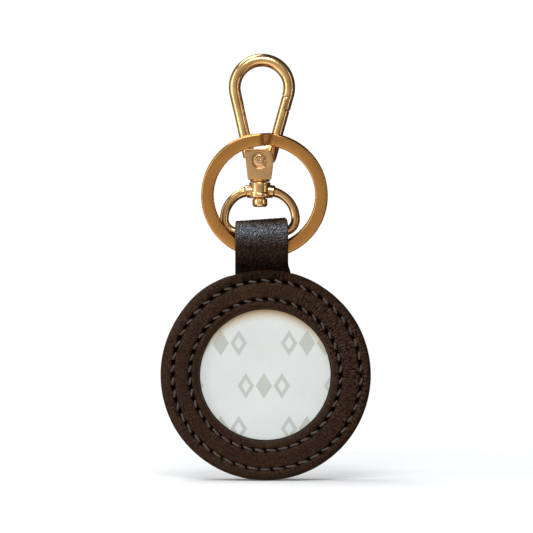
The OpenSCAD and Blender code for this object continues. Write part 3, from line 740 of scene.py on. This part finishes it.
def build_strap():
    """one band from inside the body, up the front, over the fold and down the back"""
    cx = STRAP_X - DX + 0.18
    out = LOOP + PLY
    fold = -36.70 - DZ - out
    mid = LOOP + PLY / 2
    pts = [(20.3, 2.56), (22.5, 2.56), (24.6, 2.56), (25.4, 2.66), (26.4, 3.15), (27.4, 3.55), (28.6, mid), (30.5, mid), (fold - 0.6, mid)]
    pts += [(fold + mid * math.sin(t), mid * math.cos(t)) for t in np.linspace(0.02, math.pi - 0.02, 34)]
    pts += [(y, -h) for y, h in pts[:9][::-1]]
    p = np.array(pts)
    seg = np.r_[0, np.cumsum(np.linalg.norm(np.diff(p, axis=0), axis=1))]
    t = np.linspace(0, seg[-1], 420)
    q = np.stack([np.interp(t, seg, p[:, 0]), np.interp(t, seg, p[:, 1])], -1)
    for _ in range(40):
        q[1:-1] = 0.25 * q[:-2] + 0.5 * q[1:-1] + 0.25 * q[2:]
    d = np.gradient(q, axis=0)
    d /= np.linalg.norm(d, axis=1)[:, None]
    nrm = np.stack([-d[:, 1], d[:, 0]], -1)      # outwards once the sign is set
    if nrm[30, 1] < 0:
        nrm = -nrm
    hw, ht, rc = STRAP_W / 2 - 0.08, PLY / 2, 0.42
    sec = []
    for x in np.linspace(-hw + rc, hw - rc, 92):
        sec.append((x, ht))
    sec += arc_pts(hw - rc, ht - rc, rc, 80, 0, 5)
    sec += arc_pts(hw - rc, -ht + rc, rc, -10, -90, 5)
    for x in np.linspace(hw - rc, -hw + rc, 14)[1:-1]:
        sec.append((x, -ht))
    sec += arc_pts(-hw + rc, -ht + rc, rc, 270, 190, 5)
    sec += arc_pts(-hw + rc, ht - rc, rc, 180, 100, 5)
    sec = np.array(sec)
    n, m = len(q), len(sec)
    X = np.repeat(sec[None, :, 0], n, 0)
    off = np.repeat(sec[None, :, 1], n, 0)
    run = np.repeat(t[:, None], m, 1)
    Y0 = np.repeat(q[:, 0:1], m, 1)
    # steep slanting ridges where it goes over the loop, flatter pebbles below
    high = smooth01((Y0 - 31.6) / 2.2)
    t1, t2 = math.radians(58), math.radians(-12)
    g1 = pebble((X * math.cos(t1) + run * math.sin(t1)) / 1.75 + 40, (-X * math.sin(t1) + run * math.cos(t1)) / 0.80 + 50, 61)
    g2 = pebble((X * math.cos(t2) + run * math.sin(t2)) / 1.15 + 40, (-X * math.sin(t2) + run * math.cos(t2)) / 0.74 + 50, 63)
    g3 = pebble(X / 0.50 + 40, run / 0.46 + 50, 62)
    grain = 0.74 * (g1 * high + g2 * (1 - high)) + 0.26 * g3
    edge = smooth01((hw - np.abs(X)) / 0.5)
    face = (off > 0.3)
    off = off + np.where(face, 0.125 * (grain - 0.75) * (0.35 + 0.65 * edge), 0)
    # painted light on the strap's grain: painted shade in the creases, a weaker painted highlight on the pebbles
    strap_shade = np.where(face, 0.9 * (grain - 0.55), 0)
    strap_shade = np.where(strap_shade < 0, strap_shade * 1.3, strap_shade * 0.22)
    Y = q[:, 0:1] + off * nrm[:, 0:1]
    H = q[:, 1:2] + off * nrm[:, 1:2]
    up = smooth01((Y - 26.2) / 7.0)
    Y = Y + 0.070 * X * up                                   # the fold isn't quite level
    Y = Y - 0.35 * smooth01((X - 5.2) / 1.3) ** 2 * smooth01((Y - 35.0) / 2.0)
    X = X - 0.22 * smooth01((X - 5.0) / 1.4) * smooth01((Y - 35.6) / 1.8)
    # painted shade darkening the strap towards the disc, and a painted highlight towards the fold
    strap_shade = strap_shade - 0.62 * (1 - smooth01((Y - 25.5) / 4.5)) + 0.10 * smooth01((Y - 31.0) / 3.0)
    strap_shade = np.clip(strap_shade, -1, 1)
    low = np.exp(-((np.maximum(Y - 24.4, 0) / 1.25) ** 2))
    X = X * (1 + 0.0 * low) + np.where(X > 0, 1, 0) * (X / hw) ** 3 * 0.55 * low
    wave = 0.045 * np.sin(X * 0.9 + 1.0) * np.sin(Y * 0.8) + 0.03 * np.sin(X * 2.3 + Y * 0.9)
    H = H + wave * np.sign(H) * np.where(off > 0.3, 1, 0.4) * smooth01((Y - 25.6) / 2.0)
    crown = 0.10 * (1 - (X / hw) ** 2)
    H = H + np.where(off > 0, 1, 1) * np.sign(H) * crown * smooth01((Y - 26.5) / 3.0) * smooth01((34.5 - Y) / 2.0) * 0.6
    V = to_row(cx + X, Y, H).reshape(-1, 3)
    F = grid(n, m, False, True).tolist() + [list(range(m))[::-1], [(n - 1) * m + j for j in range(m)]]
    return fix_normals(make("strap_leather", V, F, M_STRAP, sharp=60, shade=strap_shade))


def build_liner():
    th = np.linspace(0, 2 * math.pi, 360, endpoint=False)
    rr = np.r_[np.linspace(0.5, 15.2, 34), 15.5, 15.66, 15.72]
    n, m = len(th), len(rr)
    T, R = np.meshgrid(th, rr, indexing="ij")
    x, y = R * np.cos(T), R * np.sin(T)
    w = 0.035 * np.sin(x * 0.32 + 0.6) * np.cos(y * 0.27) + 0.02 * np.sin((x + y) * 0.55)
    lift = 0.05 * smooth01((R - 14.2) / 1.5) * (0.5 + 0.5 * np.cos(T - 0.7))
    w = w + 0.030 * value_noise(T, R, 10, 71, 4.0) * smooth01(R / 5) + 0.012 * np.sin(x * 1.7 + 0.8 * np.sin(y * 0.9))
    H = 2.55 + w + lift
    Vt = to_row(x, y, H).reshape(-1, 3)
    Vb = to_row(x, y, H - 0.09).reshape(-1, 3)
    k = n * m
    F = grid(n, m, True, False).tolist() + (grid(n, m, True, False)[:, ::-1] + k).tolist()
    F += [[i * m + m - 1, ((i + 1) % n) * m + m - 1, k + ((i + 1) % n) * m + m - 1, k + i * m + m - 1] for i in range(n)]
    F += [[i * m for i in range(n)][::-1], [k + i * m for i in range(n)]]
    return fix_normals(make("liner_paper", np.vstack([Vt, Vb]), F, M_LINER, sharp=50))


# ------------------------------------------------------------------ the snap hook
NOSE_LEAN, ARM_LEAN = 15.5, 12.5
nose = np.array([ARC_R * math.cos(math.radians(NOSE_LEAN)), 0, ARC_Z - ARC_R * math.sin(math.radians(NOSE_LEAN))])
nose_dir = np.array([-math.sin(math.radians(NOSE_LEAN)), 0, -math.cos(math.radians(NOSE_LEAN))])
nose_out = np.array([math.cos(math.radians(NOSE_LEAN)), 0, -math.sin(math.radians(NOSE_LEAN))])


def build_hook():
    sides = 88
    P, S, Q = [], [], []
    lap = [3.74, 3.72, 3.66, 3.50, 3.2, 2.6, 1.9, 1.2, 0.7, 0.46, 0.41, 0.39, 0.12]
    web = []
    grow = {3.74: 0.80, 3.72: 0.86, 3.66: 0.93, 3.50: 0.98}
    for d in lap:
        P.append(nose + nose_dir * d)
        S.append(nose_out)
        c = circle(sides, 1.40 * grow.get(d, 1.0))
        if d >= 0.40:
            c[:, 0] = np.maximum(c[:, 0], 0.10)
        Q.append(c)
    for a in np.linspace(-NOSE_LEAN, 180 + ARM_LEAN, 120):
        t = math.radians(a)
        P.append(np.array([ARC_R * math.cos(t), 0, ARC_Z + ARC_R * math.sin(t)]))
        S.append(np.array([math.cos(t), 0, math.sin(t)]))
        Q.append(circle(sides, 1.41 + 0.13 * max(0, math.sin(t)) ** 1.2))
    e = P[-1]
    d0 = np.array([math.sin(math.radians(ARM_LEAN)), 0, -math.cos(math.radians(ARM_LEAN))])
    s0 = np.array([-math.cos(math.radians(ARM_LEAN)), 0, -math.sin(math.radians(ARM_LEAN))])
    for d in np.linspace(0.3, 15.6, 40):
        P.append(e + d0 * d)
        S.append(s0)
        r = 1.41 - 0.07 * smooth01((d - 0.5) / 5.0) + 0.12 * smooth01((d - 10.5) / 3.5)
        Q.append(circle(sides, float(r)))
    v, f, uv = sweep(P, S, Q)
    wire = fix_normals(make("wire", v, f, M_HOOK, sharp=55, uv=uv))

    outline = [(-4.19, -19.92), (0.55, -19.92), (2.05, -20.35), (2.72, -22.0), (2.72, -23.4), (2.22, -27.24), (-3.40, -27.24)]
    T = SLOT + CHEEK
    body = slab("body", round_poly(outline, 0.5, 6), -T, T, M_HOOK)
    slot = slab("slotc", [(-2.86, -24.92), (8, -24.92), (8, -15), (-2.86, -15)], -SLOT, SLOT, M_HOOK)
    v, f = lathe([(0.0001, -3 - T), (1.86, -3 - T), (1.86, -T + 0.36), (0.0001, -T + 0.36)], 64, (RIV_X, 0, RIV_Z), "y")
    c1 = fix_normals(make("c1", v, f, M_HOOK))
    v, f = lathe([(0.0001, T - 0.36), (1.86, T - 0.36), (1.86, T + 3), (0.0001, T + 3)], 64, (RIV_X, 0, RIV_Z), "y")
    c2 = fix_normals(make("c2", v, f, M_HOOK))
    cut(body, [slot, c1, c2])
    bevel(body, 0.34, 5, 38, 55)

    prof = [(0.01, -27.0), (2.1, -27.0), (2.24, -27.12), (2.16, -27.24), (2.3, -27.34), (2.4, -27.46), (2.36, -27.62), (2.18, -27.73), (1.36, -27.76), (1.3, -27.85),
            (1.3, -31.72), (1.42, -31.8), (1.70, -31.86), (1.80, -32.05), (1.80, -32.9), (1.74, -33.4), (1.54, -33.68), (1.2, -33.78), (0.01, -33.74)]
    v, f = lathe(prof, 96, (STEM_X, 0, 0))
    stem = fix_normals(make("stem", v, f, M_HOOK, sharp=48))
    cutters = []
    for a in (0, 60, 120):
        w = 0.42
        c = slab("vc%d" % a, [(-3, -34.5), (3, -34.5), (3, -34.0), (-3, -34.0)], -w, w, M_HOOK)
        # a V groove across the peened end
        me = c.data
        for vert in me.vertices:
            if vert.co.z > -0.0342:
                vert.co.y *= 0.02
                vert.co.z = -0.03292
        ca, sa = math.cos(math.radians(a)), math.sin(math.radians(a))
        for vert in me.vertices:
            x, y = vert.co.x, vert.co.y
            vert.co.x, vert.co.y = STEM_X * MM + x * ca - y * sa, x * sa + y * ca
        cutters.append(fix_normals(c))
    cut(stem, cutters)
    stem.data.polygons.foreach_set("use_smooth", [True] * len(stem.data.polygons))
    mark_sharp(stem.data, 35)
    def at(d, c):
        q = nose + nose_dir * d + nose_out * c
        return (q[0], q[2])
    web.append(slab("web1", [at(0.5, 0.3), at(3.66, 0.3), at(3.66, -0.07), at(0.5, -0.07)], -0.62, 0.62, M_HOOK))
    web.append(slab("web2", [at(0.2, -1.2), at(0.2, 0.2), at(0.54, 0.2), at(0.54, -1.2)], -0.55, 0.55, M_HOOK))
    return join("hook_metal", [wire, body, stem] + web)


def build_gate():
    sides = 80
    P, S, Q = [], [], []
    rows = [(16.9, 0.35), (16.8, 0.75), (16.55, 1.05), (16.1, 1.25), (15.5, 1.34)] + [(d, 1.34) for d in np.linspace(14.8, 4.2, 30)]
    rows += [(3.92, 1.34), (3.90, 1.34), (3.0, 1.33), (2.0, 1.33), (1.2, 1.33), (0.76, 1.31), (0.64, 1.25), (0.57, 1.14)]
    for d, r in rows:
        P.append(nose + nose_dir * d)
        S.append(nose_out)
        c = circle(sides, r)
        if d < 3.91:
            c[:, 0] = np.minimum(c[:, 0], -0.09)
        Q.append(c)
    v, f, uv = sweep(P, S, Q)
    rod = fix_normals(make("rod", v, f, M_HOOK, sharp=55, uv=uv))
    # the flat foot that the rivet goes through
    a = math.radians(-NOSE_LEAN)
    pts = [(2.0 * math.cos(t), 2.0 * math.sin(t)) for t in np.radians(np.linspace(90, 300, 40))]
    pts += [(2.45, -1.15), (2.45, 4.2), (0.3, 4.2)]
    out = [(RIV_X + x * math.cos(a) - y * math.sin(a), RIV_Z + x * math.sin(a) + y * math.cos(a)) for x, y in pts]
    foot = slab("foot", out, -0.75, 0.75, M_HOOK)
    v, f = lathe([(0.0001, -2), (0.87, -2), (0.87, 2), (0.0001, 2)], 48, (RIV_X, 0, RIV_Z), "y")
    cut(foot, [fix_normals(make("c3", v, f, M_HOOK))])
    bevel(foot, 0.1, 2, 40, 50)
    tips = [nose + nose_dir * d + nose_out * c for d, c in ((4.1, 1.2), (4.1, 0.0), (3.77, 0.0), (3.77, 1.2))]
    web = slab("web3", [(q[0], q[2]) for q in tips], -0.55, 0.55, M_HOOK)
    return join("gate_metal", [rod, foot, web])


def build_rivet():
    T = SLOT + CHEEK
    top = T - 0.36
    h = [(0.8, top), (1.42, top), (1.52, top + 0.10), (1.46, top + 0.26), (1.2, top + 0.42), (0.8, top + 0.53), (0.40, top + 0.58),
         (0.26, top + 0.55), (0.2, top + 0.40), (0.01, top + 0.36)]
    prof = [(r, t) for r, t in h][::-1] + [(r, -t) for r, t in h]
    v, f = lathe(prof, 112, (RIV_X, 0, RIV_Z), "y")
    return fix_normals(make("rivet_metal", v, f, M_RIVET, sharp=60))


def build_swivel():
    low, hw, rod = 3.0, 8.54, 1.05
    top = 6.7
    cz = BAR_Z + low
    pts = []
    for t in np.radians(np.linspace(86, 180, 60)):
        pts.append((-(hw - top) + top * math.cos(t), cz + top * math.sin(t)))
    for t in np.radians(np.linspace(183, 270, 36)):
        pts.append((-(hw - low) + low * math.cos(t), cz + low * math.sin(t)))
    left = pts
    bar = [(x, BAR_Z) for x in np.linspace(-(hw - low) + 0.5, hw - low - 0.5, 24)]
    pts = left + bar + [(-x, z) for x, z in left[::-1]]
    p = np.array([(STEM_X + x, 0, z) for x, z in pts])
    d = np.gradient(p, axis=0)
    d /= np.linalg.norm(d, axis=1)[:, None]
    s = np.stack([-d[:, 2], np.zeros(len(d)), d[:, 0]], -1)
    near = np.abs(p[:, 0] - STEM_X)
    up = p[:, 2] > cz
    rad = rod + np.where(up, 0.12 * smooth01((5.6 - near) / 2.4) + 0.38 * smooth01((3.50 - near) / 0.30), 0)
    v, f, uv = sweep(p, s, [circle(72, r) for r in rad])
    loop = fix_normals(make("loop", v, f, M_HOOK, sharp=55, uv=uv))
    prof = [(1.36, -27.95), (1.5, -27.86), (2.25, -27.86), (2.46, -27.92), (2.56, -28.06), (2.56, -28.30), (2.50, -28.42), (2.47, -28.6), (2.47, -30.0),
            (2.48, -30.14), (2.44, -30.24), (2.50, -30.34), (2.64, -30.44), (2.76, -30.6), (2.80, -30.95), (2.76, -31.3), (2.60, -31.54), (2.35, -31.65), (1.5, -31.65), (1.36, -31.58)]
    v, f = lathe(prof, 120, (STEM_X, 0, 0))
    hub = fix_normals(make("hub", v, f, M_HOOK, sharp=50))
    # the stem's hole stays open through the ends of the loop's rod
    v, f = lathe([(0.0001, -34), (1.37, -34), (1.37, -26), (0.0001, -26)], 64, (STEM_X, 0, 0))
    cut(loop, [fix_normals(make("c4", v, f, M_HOOK))])
    loop.data.polygons.foreach_set("use_smooth", [True] * len(loop.data.polygons))
    mark_sharp(loop.data, 50)
    return join("swivel_metal", [loop, hub])


def build_ring():
    ro, ri, k = 15.1, 12.1, 0.97 / 2
    lean = math.radians(12)
    n = 900
    t = np.linspace(11.5, 709, n)
    e = k + 0.07
    mid = e * np.cos(math.pi * (t - 354) / 15)
    lev = np.where(t <= 354, e, np.where(t >= 369, -e, mid))
    c = 0.42
    sec = [(ri + c, -k), (ro - c, -k)] + arc_pts(ro - c, -k + c, c, -72, 0, 9) + arc_pts(ro - c, k - c, c, 0, 72, 9) + [(ro - c, k), (ri + c, k)]
    sec += arc_pts(ri + c, k - c, c, 108, 180, 9) + arc_pts(ri + c, -k + c, c, 180, 252, 9)
    sec = np.array(sec)
    # the flat faces get a line of points inside the rolled corners, so that they stay flat
    m = len(sec)
    a = np.radians(t)[:, None]
    u = sec[None, :, 0] * np.sin(a)
    s = sec[None, :, 0] * np.cos(a) + (ro - 2.5)
    w = sec[None, :, 1] + lev[:, None]
    end = np.minimum(np.arange(n), np.arange(n)[::-1])
    x = 0.6 + u
    y = TY - s * math.sin(lean) - w * math.cos(lean)
    z = -43.45 + s * math.cos(lean) - w * math.sin(lean)
    V = np.stack([x, y, z], -1).reshape(-1, 3)
    F = grid(n, m, False, True).tolist() + [list(range(m))[::-1], [(n - 1) * m + j for j in range(m)]]
    arc = np.radians(t) * 13.6
    uv = np.stack(np.meshgrid(arc, np.zeros(m), indexing="ij"), -1)
    uv[..., 1] = sec[None, :, 0] + sec[None, :, 1]
    return fix_normals(make("key_ring_metal", V, F, M_RING, sharp=40, uv=uv.reshape(-1, 2)))


def build_spring():
    """a two-turn torsion spring on the rivet, with its legs on the clevis and along the gate"""
    r, w = 1.12, 0.16
    t = np.linspace(math.radians(-15.5), math.radians(-15.5) + 2 * math.pi * 1.5 + math.radians(15.5), 90)
    pts = []
    top = np.array([math.cos(math.radians(-15.5)), math.sin(math.radians(-15.5))]) * r
    up = np.array([math.sin(math.radians(15.5)), math.cos(math.radians(15.5))])
    for q in np.linspace(0.95, 0.1, 6):
        pts.append((top[0] + up[0] * q, 0.93, top[1] + up[1] * q))
    for i, a in enumerate(t):
        pts.append((r * math.cos(a), 0.93 + 0.32 * i / len(t), r * math.sin(a)))
    for q in np.linspace(0.1, 2.1, 7):
        pts.append((-r, 1.25, -q))
    p = np.array([(RIV_X + x, y, RIV_Z + z) for x, y, z in pts])
    d = np.gradient(p, axis=0)
    d /= np.linalg.norm(d, axis=1)[:, None]
    b = np.array([0, 1.0, 0])
    s = np.cross(d, b)
    s /= np.linalg.norm(s, axis=1)[:, None]
    v, f, uv = sweep(p, s, [circle(12, w)] * len(p))
    return fix_normals(make("gate_spring_wire", v, f, M_SPRING, uv=uv))


pieces = [
    (build_cover(), "tag", "leather_cover", ["front_leather_cover"]),
    (build_back(), "tag", "leather_back", ["rear_leather_disc"]),
    (build_strap(), "tag", "leather_strap", ["strap_loop"]),
    (build_liner(), "tag", "release_paper", ["release_liner"]),
    (build_threads("outer_seam_front", R_SEAM_O, N_O, 4.02, 2.40, 1, 9, 41), "tag", "seam_thread", ["outer_seam_needle_thread"]),
    (build_threads("inner_seam_front", R_SEAM_I, N_I, 4.02, 2.20, 1, 9, 42), "tag", "seam_thread", ["inner_seam_needle_thread"]),
    (build_threads("outer_seam_back", R_SEAM_O, N_O, 3.93, 2.40, -1, -9, 43), "tag", "seam_thread", ["outer_seam_bobbin_thread"]),
    (build_hook(), "hook", "hook_gold", ["hook_body"]),
    (build_gate(), "gate", "hook_gold", ["gate_lever"]),
    (build_rivet(), "hook", "hook_gold", ["gate_rivet"]),
    (build_spring(), "hook", "spring_steel", ["gate_spring"]),
    (build_swivel(), "swivel", "hook_gold", ["swivel_loop"]),
    (build_ring(), "key_ring", "ring_brass", ["split_key_ring"]),
]
for ob, body, slot, nodes in pieces:
    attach(ob, body)
    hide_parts(*nodes)

for n, mat in {"padding_ring": M_FOAM, "frame_core": M_BOARD, "adhesive_pad": M_ADH, "inner_seam_bobbin_thread": M_THREAD,
               "tracker_front_shell": M_SHELL, "tracker_rear_shell": M_SHELL, "circuit_board": M_PCB, "board_components": M_CHIP,
               "coin_cell": M_CELL, "battery_contact_positive": M_CONTACT, "battery_contact_negative": M_CONTACT,
               "sounder_disc": M_SOUNDER}.items():
    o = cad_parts[n]
    for s in o.material_slots:
        s.material = mat

# ------------------------------------------------------------------ floor, light, camera
floor_z = -99.15
v = [(r * math.cos(a), r * math.sin(a), floor_z) for r in np.linspace(0, 900, 40) for a in np.linspace(0, 2 * math.pi, 96, endpoint=False)]
m, nt, b = material("floor_pale")
co = coords(nt)
ln = node(nt, "ShaderNodeVectorMath", operation="LENGTH")
nt.links.new(co, ln.inputs[0])
far = ramp(nt, math_node(nt, "DIVIDE", ln.outputs["Value"], 0.9), [(0.10, (0, 0, 0)), (0.21, (1, 1, 1))])
tr = node(nt, "ShaderNodeBsdfTransparent")
mx = node(nt, "ShaderNodeMixShader")
nt.links.new(far, mx.inputs[0])
nt.links.new(b.outputs[0], mx.inputs[1])
nt.links.new(tr.outputs[0], mx.inputs[2])
nt.links.new(mx.outputs[0], nt.nodes["Material Output"].inputs["Surface"])
nt.links.new(ramp(nt, noise(nt, co, 40, 4.0), [(0.3, (0.93, 0.93, 0.93)), (0.7, (0.95, 0.95, 0.95))]), b.inputs["Base Color"])
b.inputs["Roughness"].default_value = 0.8
b.inputs["Specular IOR Level"].default_value = 0.15
floor = make("floor", v, grid(40, 96, False, True), m)
floor.visible_glossy = False

world = bpy.data.worlds.new("studio")
bpy.context.scene.world = world
world.use_nodes = True
wt = world.node_tree
bg = wt.nodes["Background"]
wo = wt.nodes["World Output"]
co = wt.nodes.new("ShaderNodeTexCoord").outputs["Generated"]
sep = wt.nodes.new("ShaderNodeSeparateXYZ")
wt.links.new(co, sep.inputs[0])
# a dim room behind the camera, a lighter one above and behind the object
back = ramp(wt, math_node(wt, "ADD", math_node(wt, "MULTIPLY", sep.outputs["Y"], 0.5), 0.5),
            [(0.0, (0.40, 0.392, 0.384)), (0.12, (0.29, 0.284, 0.278)), (0.35, (0.36, 0.355, 0.35)), (0.6, (0.34, 0.34, 0.34)), (1.0, (0.30, 0.30, 0.30))])
upw = ramp(wt, math_node(wt, "ADD", math_node(wt, "MULTIPLY", sep.outputs["Z"], 0.5), 0.5),
           [(0.0, (0.26, 0.20, 0.15)), (0.12, (0.42, 0.36, 0.30)), (0.26, (1.75, 1.70, 1.62)), (0.38, (1.6, 1.57, 1.52)), (0.47, (0.85, 0.85, 0.85)),
            (0.62, (1.0, 1.0, 1.0)), (1.0, (1.25, 1.28, 1.33))])
mul = wt.nodes.new("ShaderNodeMixRGB")
mul.blend_type = "MULTIPLY"
mul.inputs[0].default_value = 1
wt.links.new(back, mul.inputs[1])
wt.links.new(upw, mul.inputs[2])
sidew = ramp(wt, math_node(wt, "ADD", math_node(wt, "MULTIPLY", sep.outputs["X"], 0.5), 0.5),
             [(0.0, (1.75, 1.72, 1.68)), (0.30, (1.25, 1.24, 1.22)), (0.5, (1.0, 1.0, 1.0)), (0.8, (0.50, 0.49, 0.48)), (1.0, (0.62, 0.61, 0.60))])
mul2 = wt.nodes.new("ShaderNodeMixRGB")
mul2.blend_type = "MULTIPLY"
mul2.inputs[0].default_value = 1
wt.links.new(mul.outputs[0], mul2.inputs[1])
wt.links.new(sidew, mul2.inputs[2])
wt.links.new(mul2.outputs[0], bg.inputs["Color"])
bg.inputs["Strength"].default_value = 1.0
gy = ramp(wt, math_node(wt, "ADD", math_node(wt, "MULTIPLY", sep.outputs["Y"], 0.5), 0.5),
          [(0.0, (0.52, 0.51, 0.50)), (0.08, (0.40, 0.39, 0.38)), (0.22, (0.24, 0.235, 0.23)), (0.40, (0.17, 0.165, 0.16)), (0.55, (0.055, 0.05, 0.045)), (1.0, (0.045, 0.04, 0.035))])
gz = ramp(wt, math_node(wt, "ADD", math_node(wt, "MULTIPLY", sep.outputs["Z"], 0.5), 0.5),
          [(0.0, (0.18, 0.16, 0.14)), (0.035, (0.4, 0.38, 0.35)), (0.09, (5.0, 4.9, 4.7)), (0.20, (3.4, 3.3, 3.2)), (0.27, (1.45, 1.42, 1.38)), (0.36, (1.12, 1.1, 1.08)), (0.48, (1.0, 1.0, 1.0)),
           (0.64, (1.1, 1.1, 1.1)), (0.84, (1.2, 1.23, 1.3)), (1.0, (0.7, 0.72, 0.75))])
gx = ramp(wt, math_node(wt, "ADD", math_node(wt, "MULTIPLY", sep.outputs["X"], 0.5), 0.5),
          [(0.0, (7.5, 7.4, 7.2)), (0.07, (5.5, 5.4, 5.3)), (0.15, (2.6, 2.55, 2.5)), (0.30, (1.15, 1.14, 1.12)), (0.5, (1.0, 1.0, 1.0)), (0.8, (0.50, 0.49, 0.48)), (1.0, (0.9, 0.88, 0.86))])
g1 = wt.nodes.new("ShaderNodeMixRGB")
g1.blend_type = "MULTIPLY"
g1.inputs[0].default_value = 1
wt.links.new(gy, g1.inputs[1])
wt.links.new(gz, g1.inputs[2])
g2 = wt.nodes.new("ShaderNodeMixRGB")
g2.blend_type = "MULTIPLY"
g2.inputs[0].default_value = 1
wt.links.new(g1.outputs[0], g2.inputs[1])
wt.links.new(gx, g2.inputs[2])
glossy = wt.nodes.new("ShaderNodeBackground")
wt.links.new(g2.outputs[0], glossy.inputs["Color"])
plain = wt.nodes.new("ShaderNodeBackground")
plain.inputs["Color"].default_value = (1.0, 1.0, 1.0, 1)
plain.inputs["Strength"].default_value = 1.02
lp = wt.nodes.new("ShaderNodeLightPath")
mxs = wt.nodes.new("ShaderNodeMixShader")
mxg = wt.nodes.new("ShaderNodeMixShader")
wt.links.new(lp.outputs["Is Glossy Ray"], mxg.inputs[0])
wt.links.new(bg.outputs[0], mxg.inputs[1])
wt.links.new(glossy.outputs[0], mxg.inputs[2])
wt.links.new(lp.outputs["Is Camera Ray"], mxs.inputs[0])
wt.links.new(mxg.outputs[0], mxs.inputs[1])
wt.links.new(plain.outputs[0], mxs.inputs[2])
wt.links.new(mxs.outputs[0], wo.inputs["Surface"])


def area(name, loc, target, size, radiance, colour, size_y=None):
    d = bpy.data.lights.new(name, "AREA")
    d.shape = "RECTANGLE"
    d.size, d.size_y = size, size_y or size
    d.energy = radiance * math.pi * d.size * d.size_y
    d.color = colour
    o = bpy.data.objects.new(name, d)
    bpy.context.scene.collection.objects.link(o)
    o.location = loc
    o.rotation_euler = (Vector(target) - Vector(loc)).to_track_quat("-Z", "Y").to_euler()
    return o


aim = (0.0, 0.0, -0.055)
area("key_top", (-0.03, -0.34, 0.28), aim, 0.26, 8.6, (0.95, 0.97, 1.0), 0.20)
area("overhead", (-0.16, 0.07, 0.36), (0.0, 0.0, -0.09), 0.34, 4.0, (0.94, 0.97, 1.0), 0.26)
fill = area("back_fill", (0.12, 0.42, 0.16), aim, 0.25, 0.8, (0.98, 0.98, 1.0), 0.25)
fill.visible_glossy = False
area("left_strip", (-0.40, -0.20, 0.03), aim, 0.08, 3.8, (1.0, 0.98, 0.95), 0.45)
area("right_strip", (0.38, -0.24, 0.02), aim, 0.05, 2.8, (1.0, 0.98, 0.95), 0.40)

cam = bpy.data.cameras.new("camera")
cam.sensor_width = 36.0
dist = 0.70
cam.lens = 36.0 * dist * 1000 / (533 * 0.24)
co_ = bpy.data.objects.new("camera", cam)
bpy.context.scene.collection.objects.link(co_)
co_.location = ((266.5 - 262) * 0.24 * MM, -dist, (67.5 - 266.5) * 0.24 * MM - 0.0003)
co_.rotation_euler = (math.pi / 2, 0, 0)
cam.clip_start, cam.clip_end = 0.01, 10
bpy.context.scene.camera = co_

bpy.context.scene.view_settings.view_transform = "Standard"
bpy.context.scene.view_settings.look = "None"
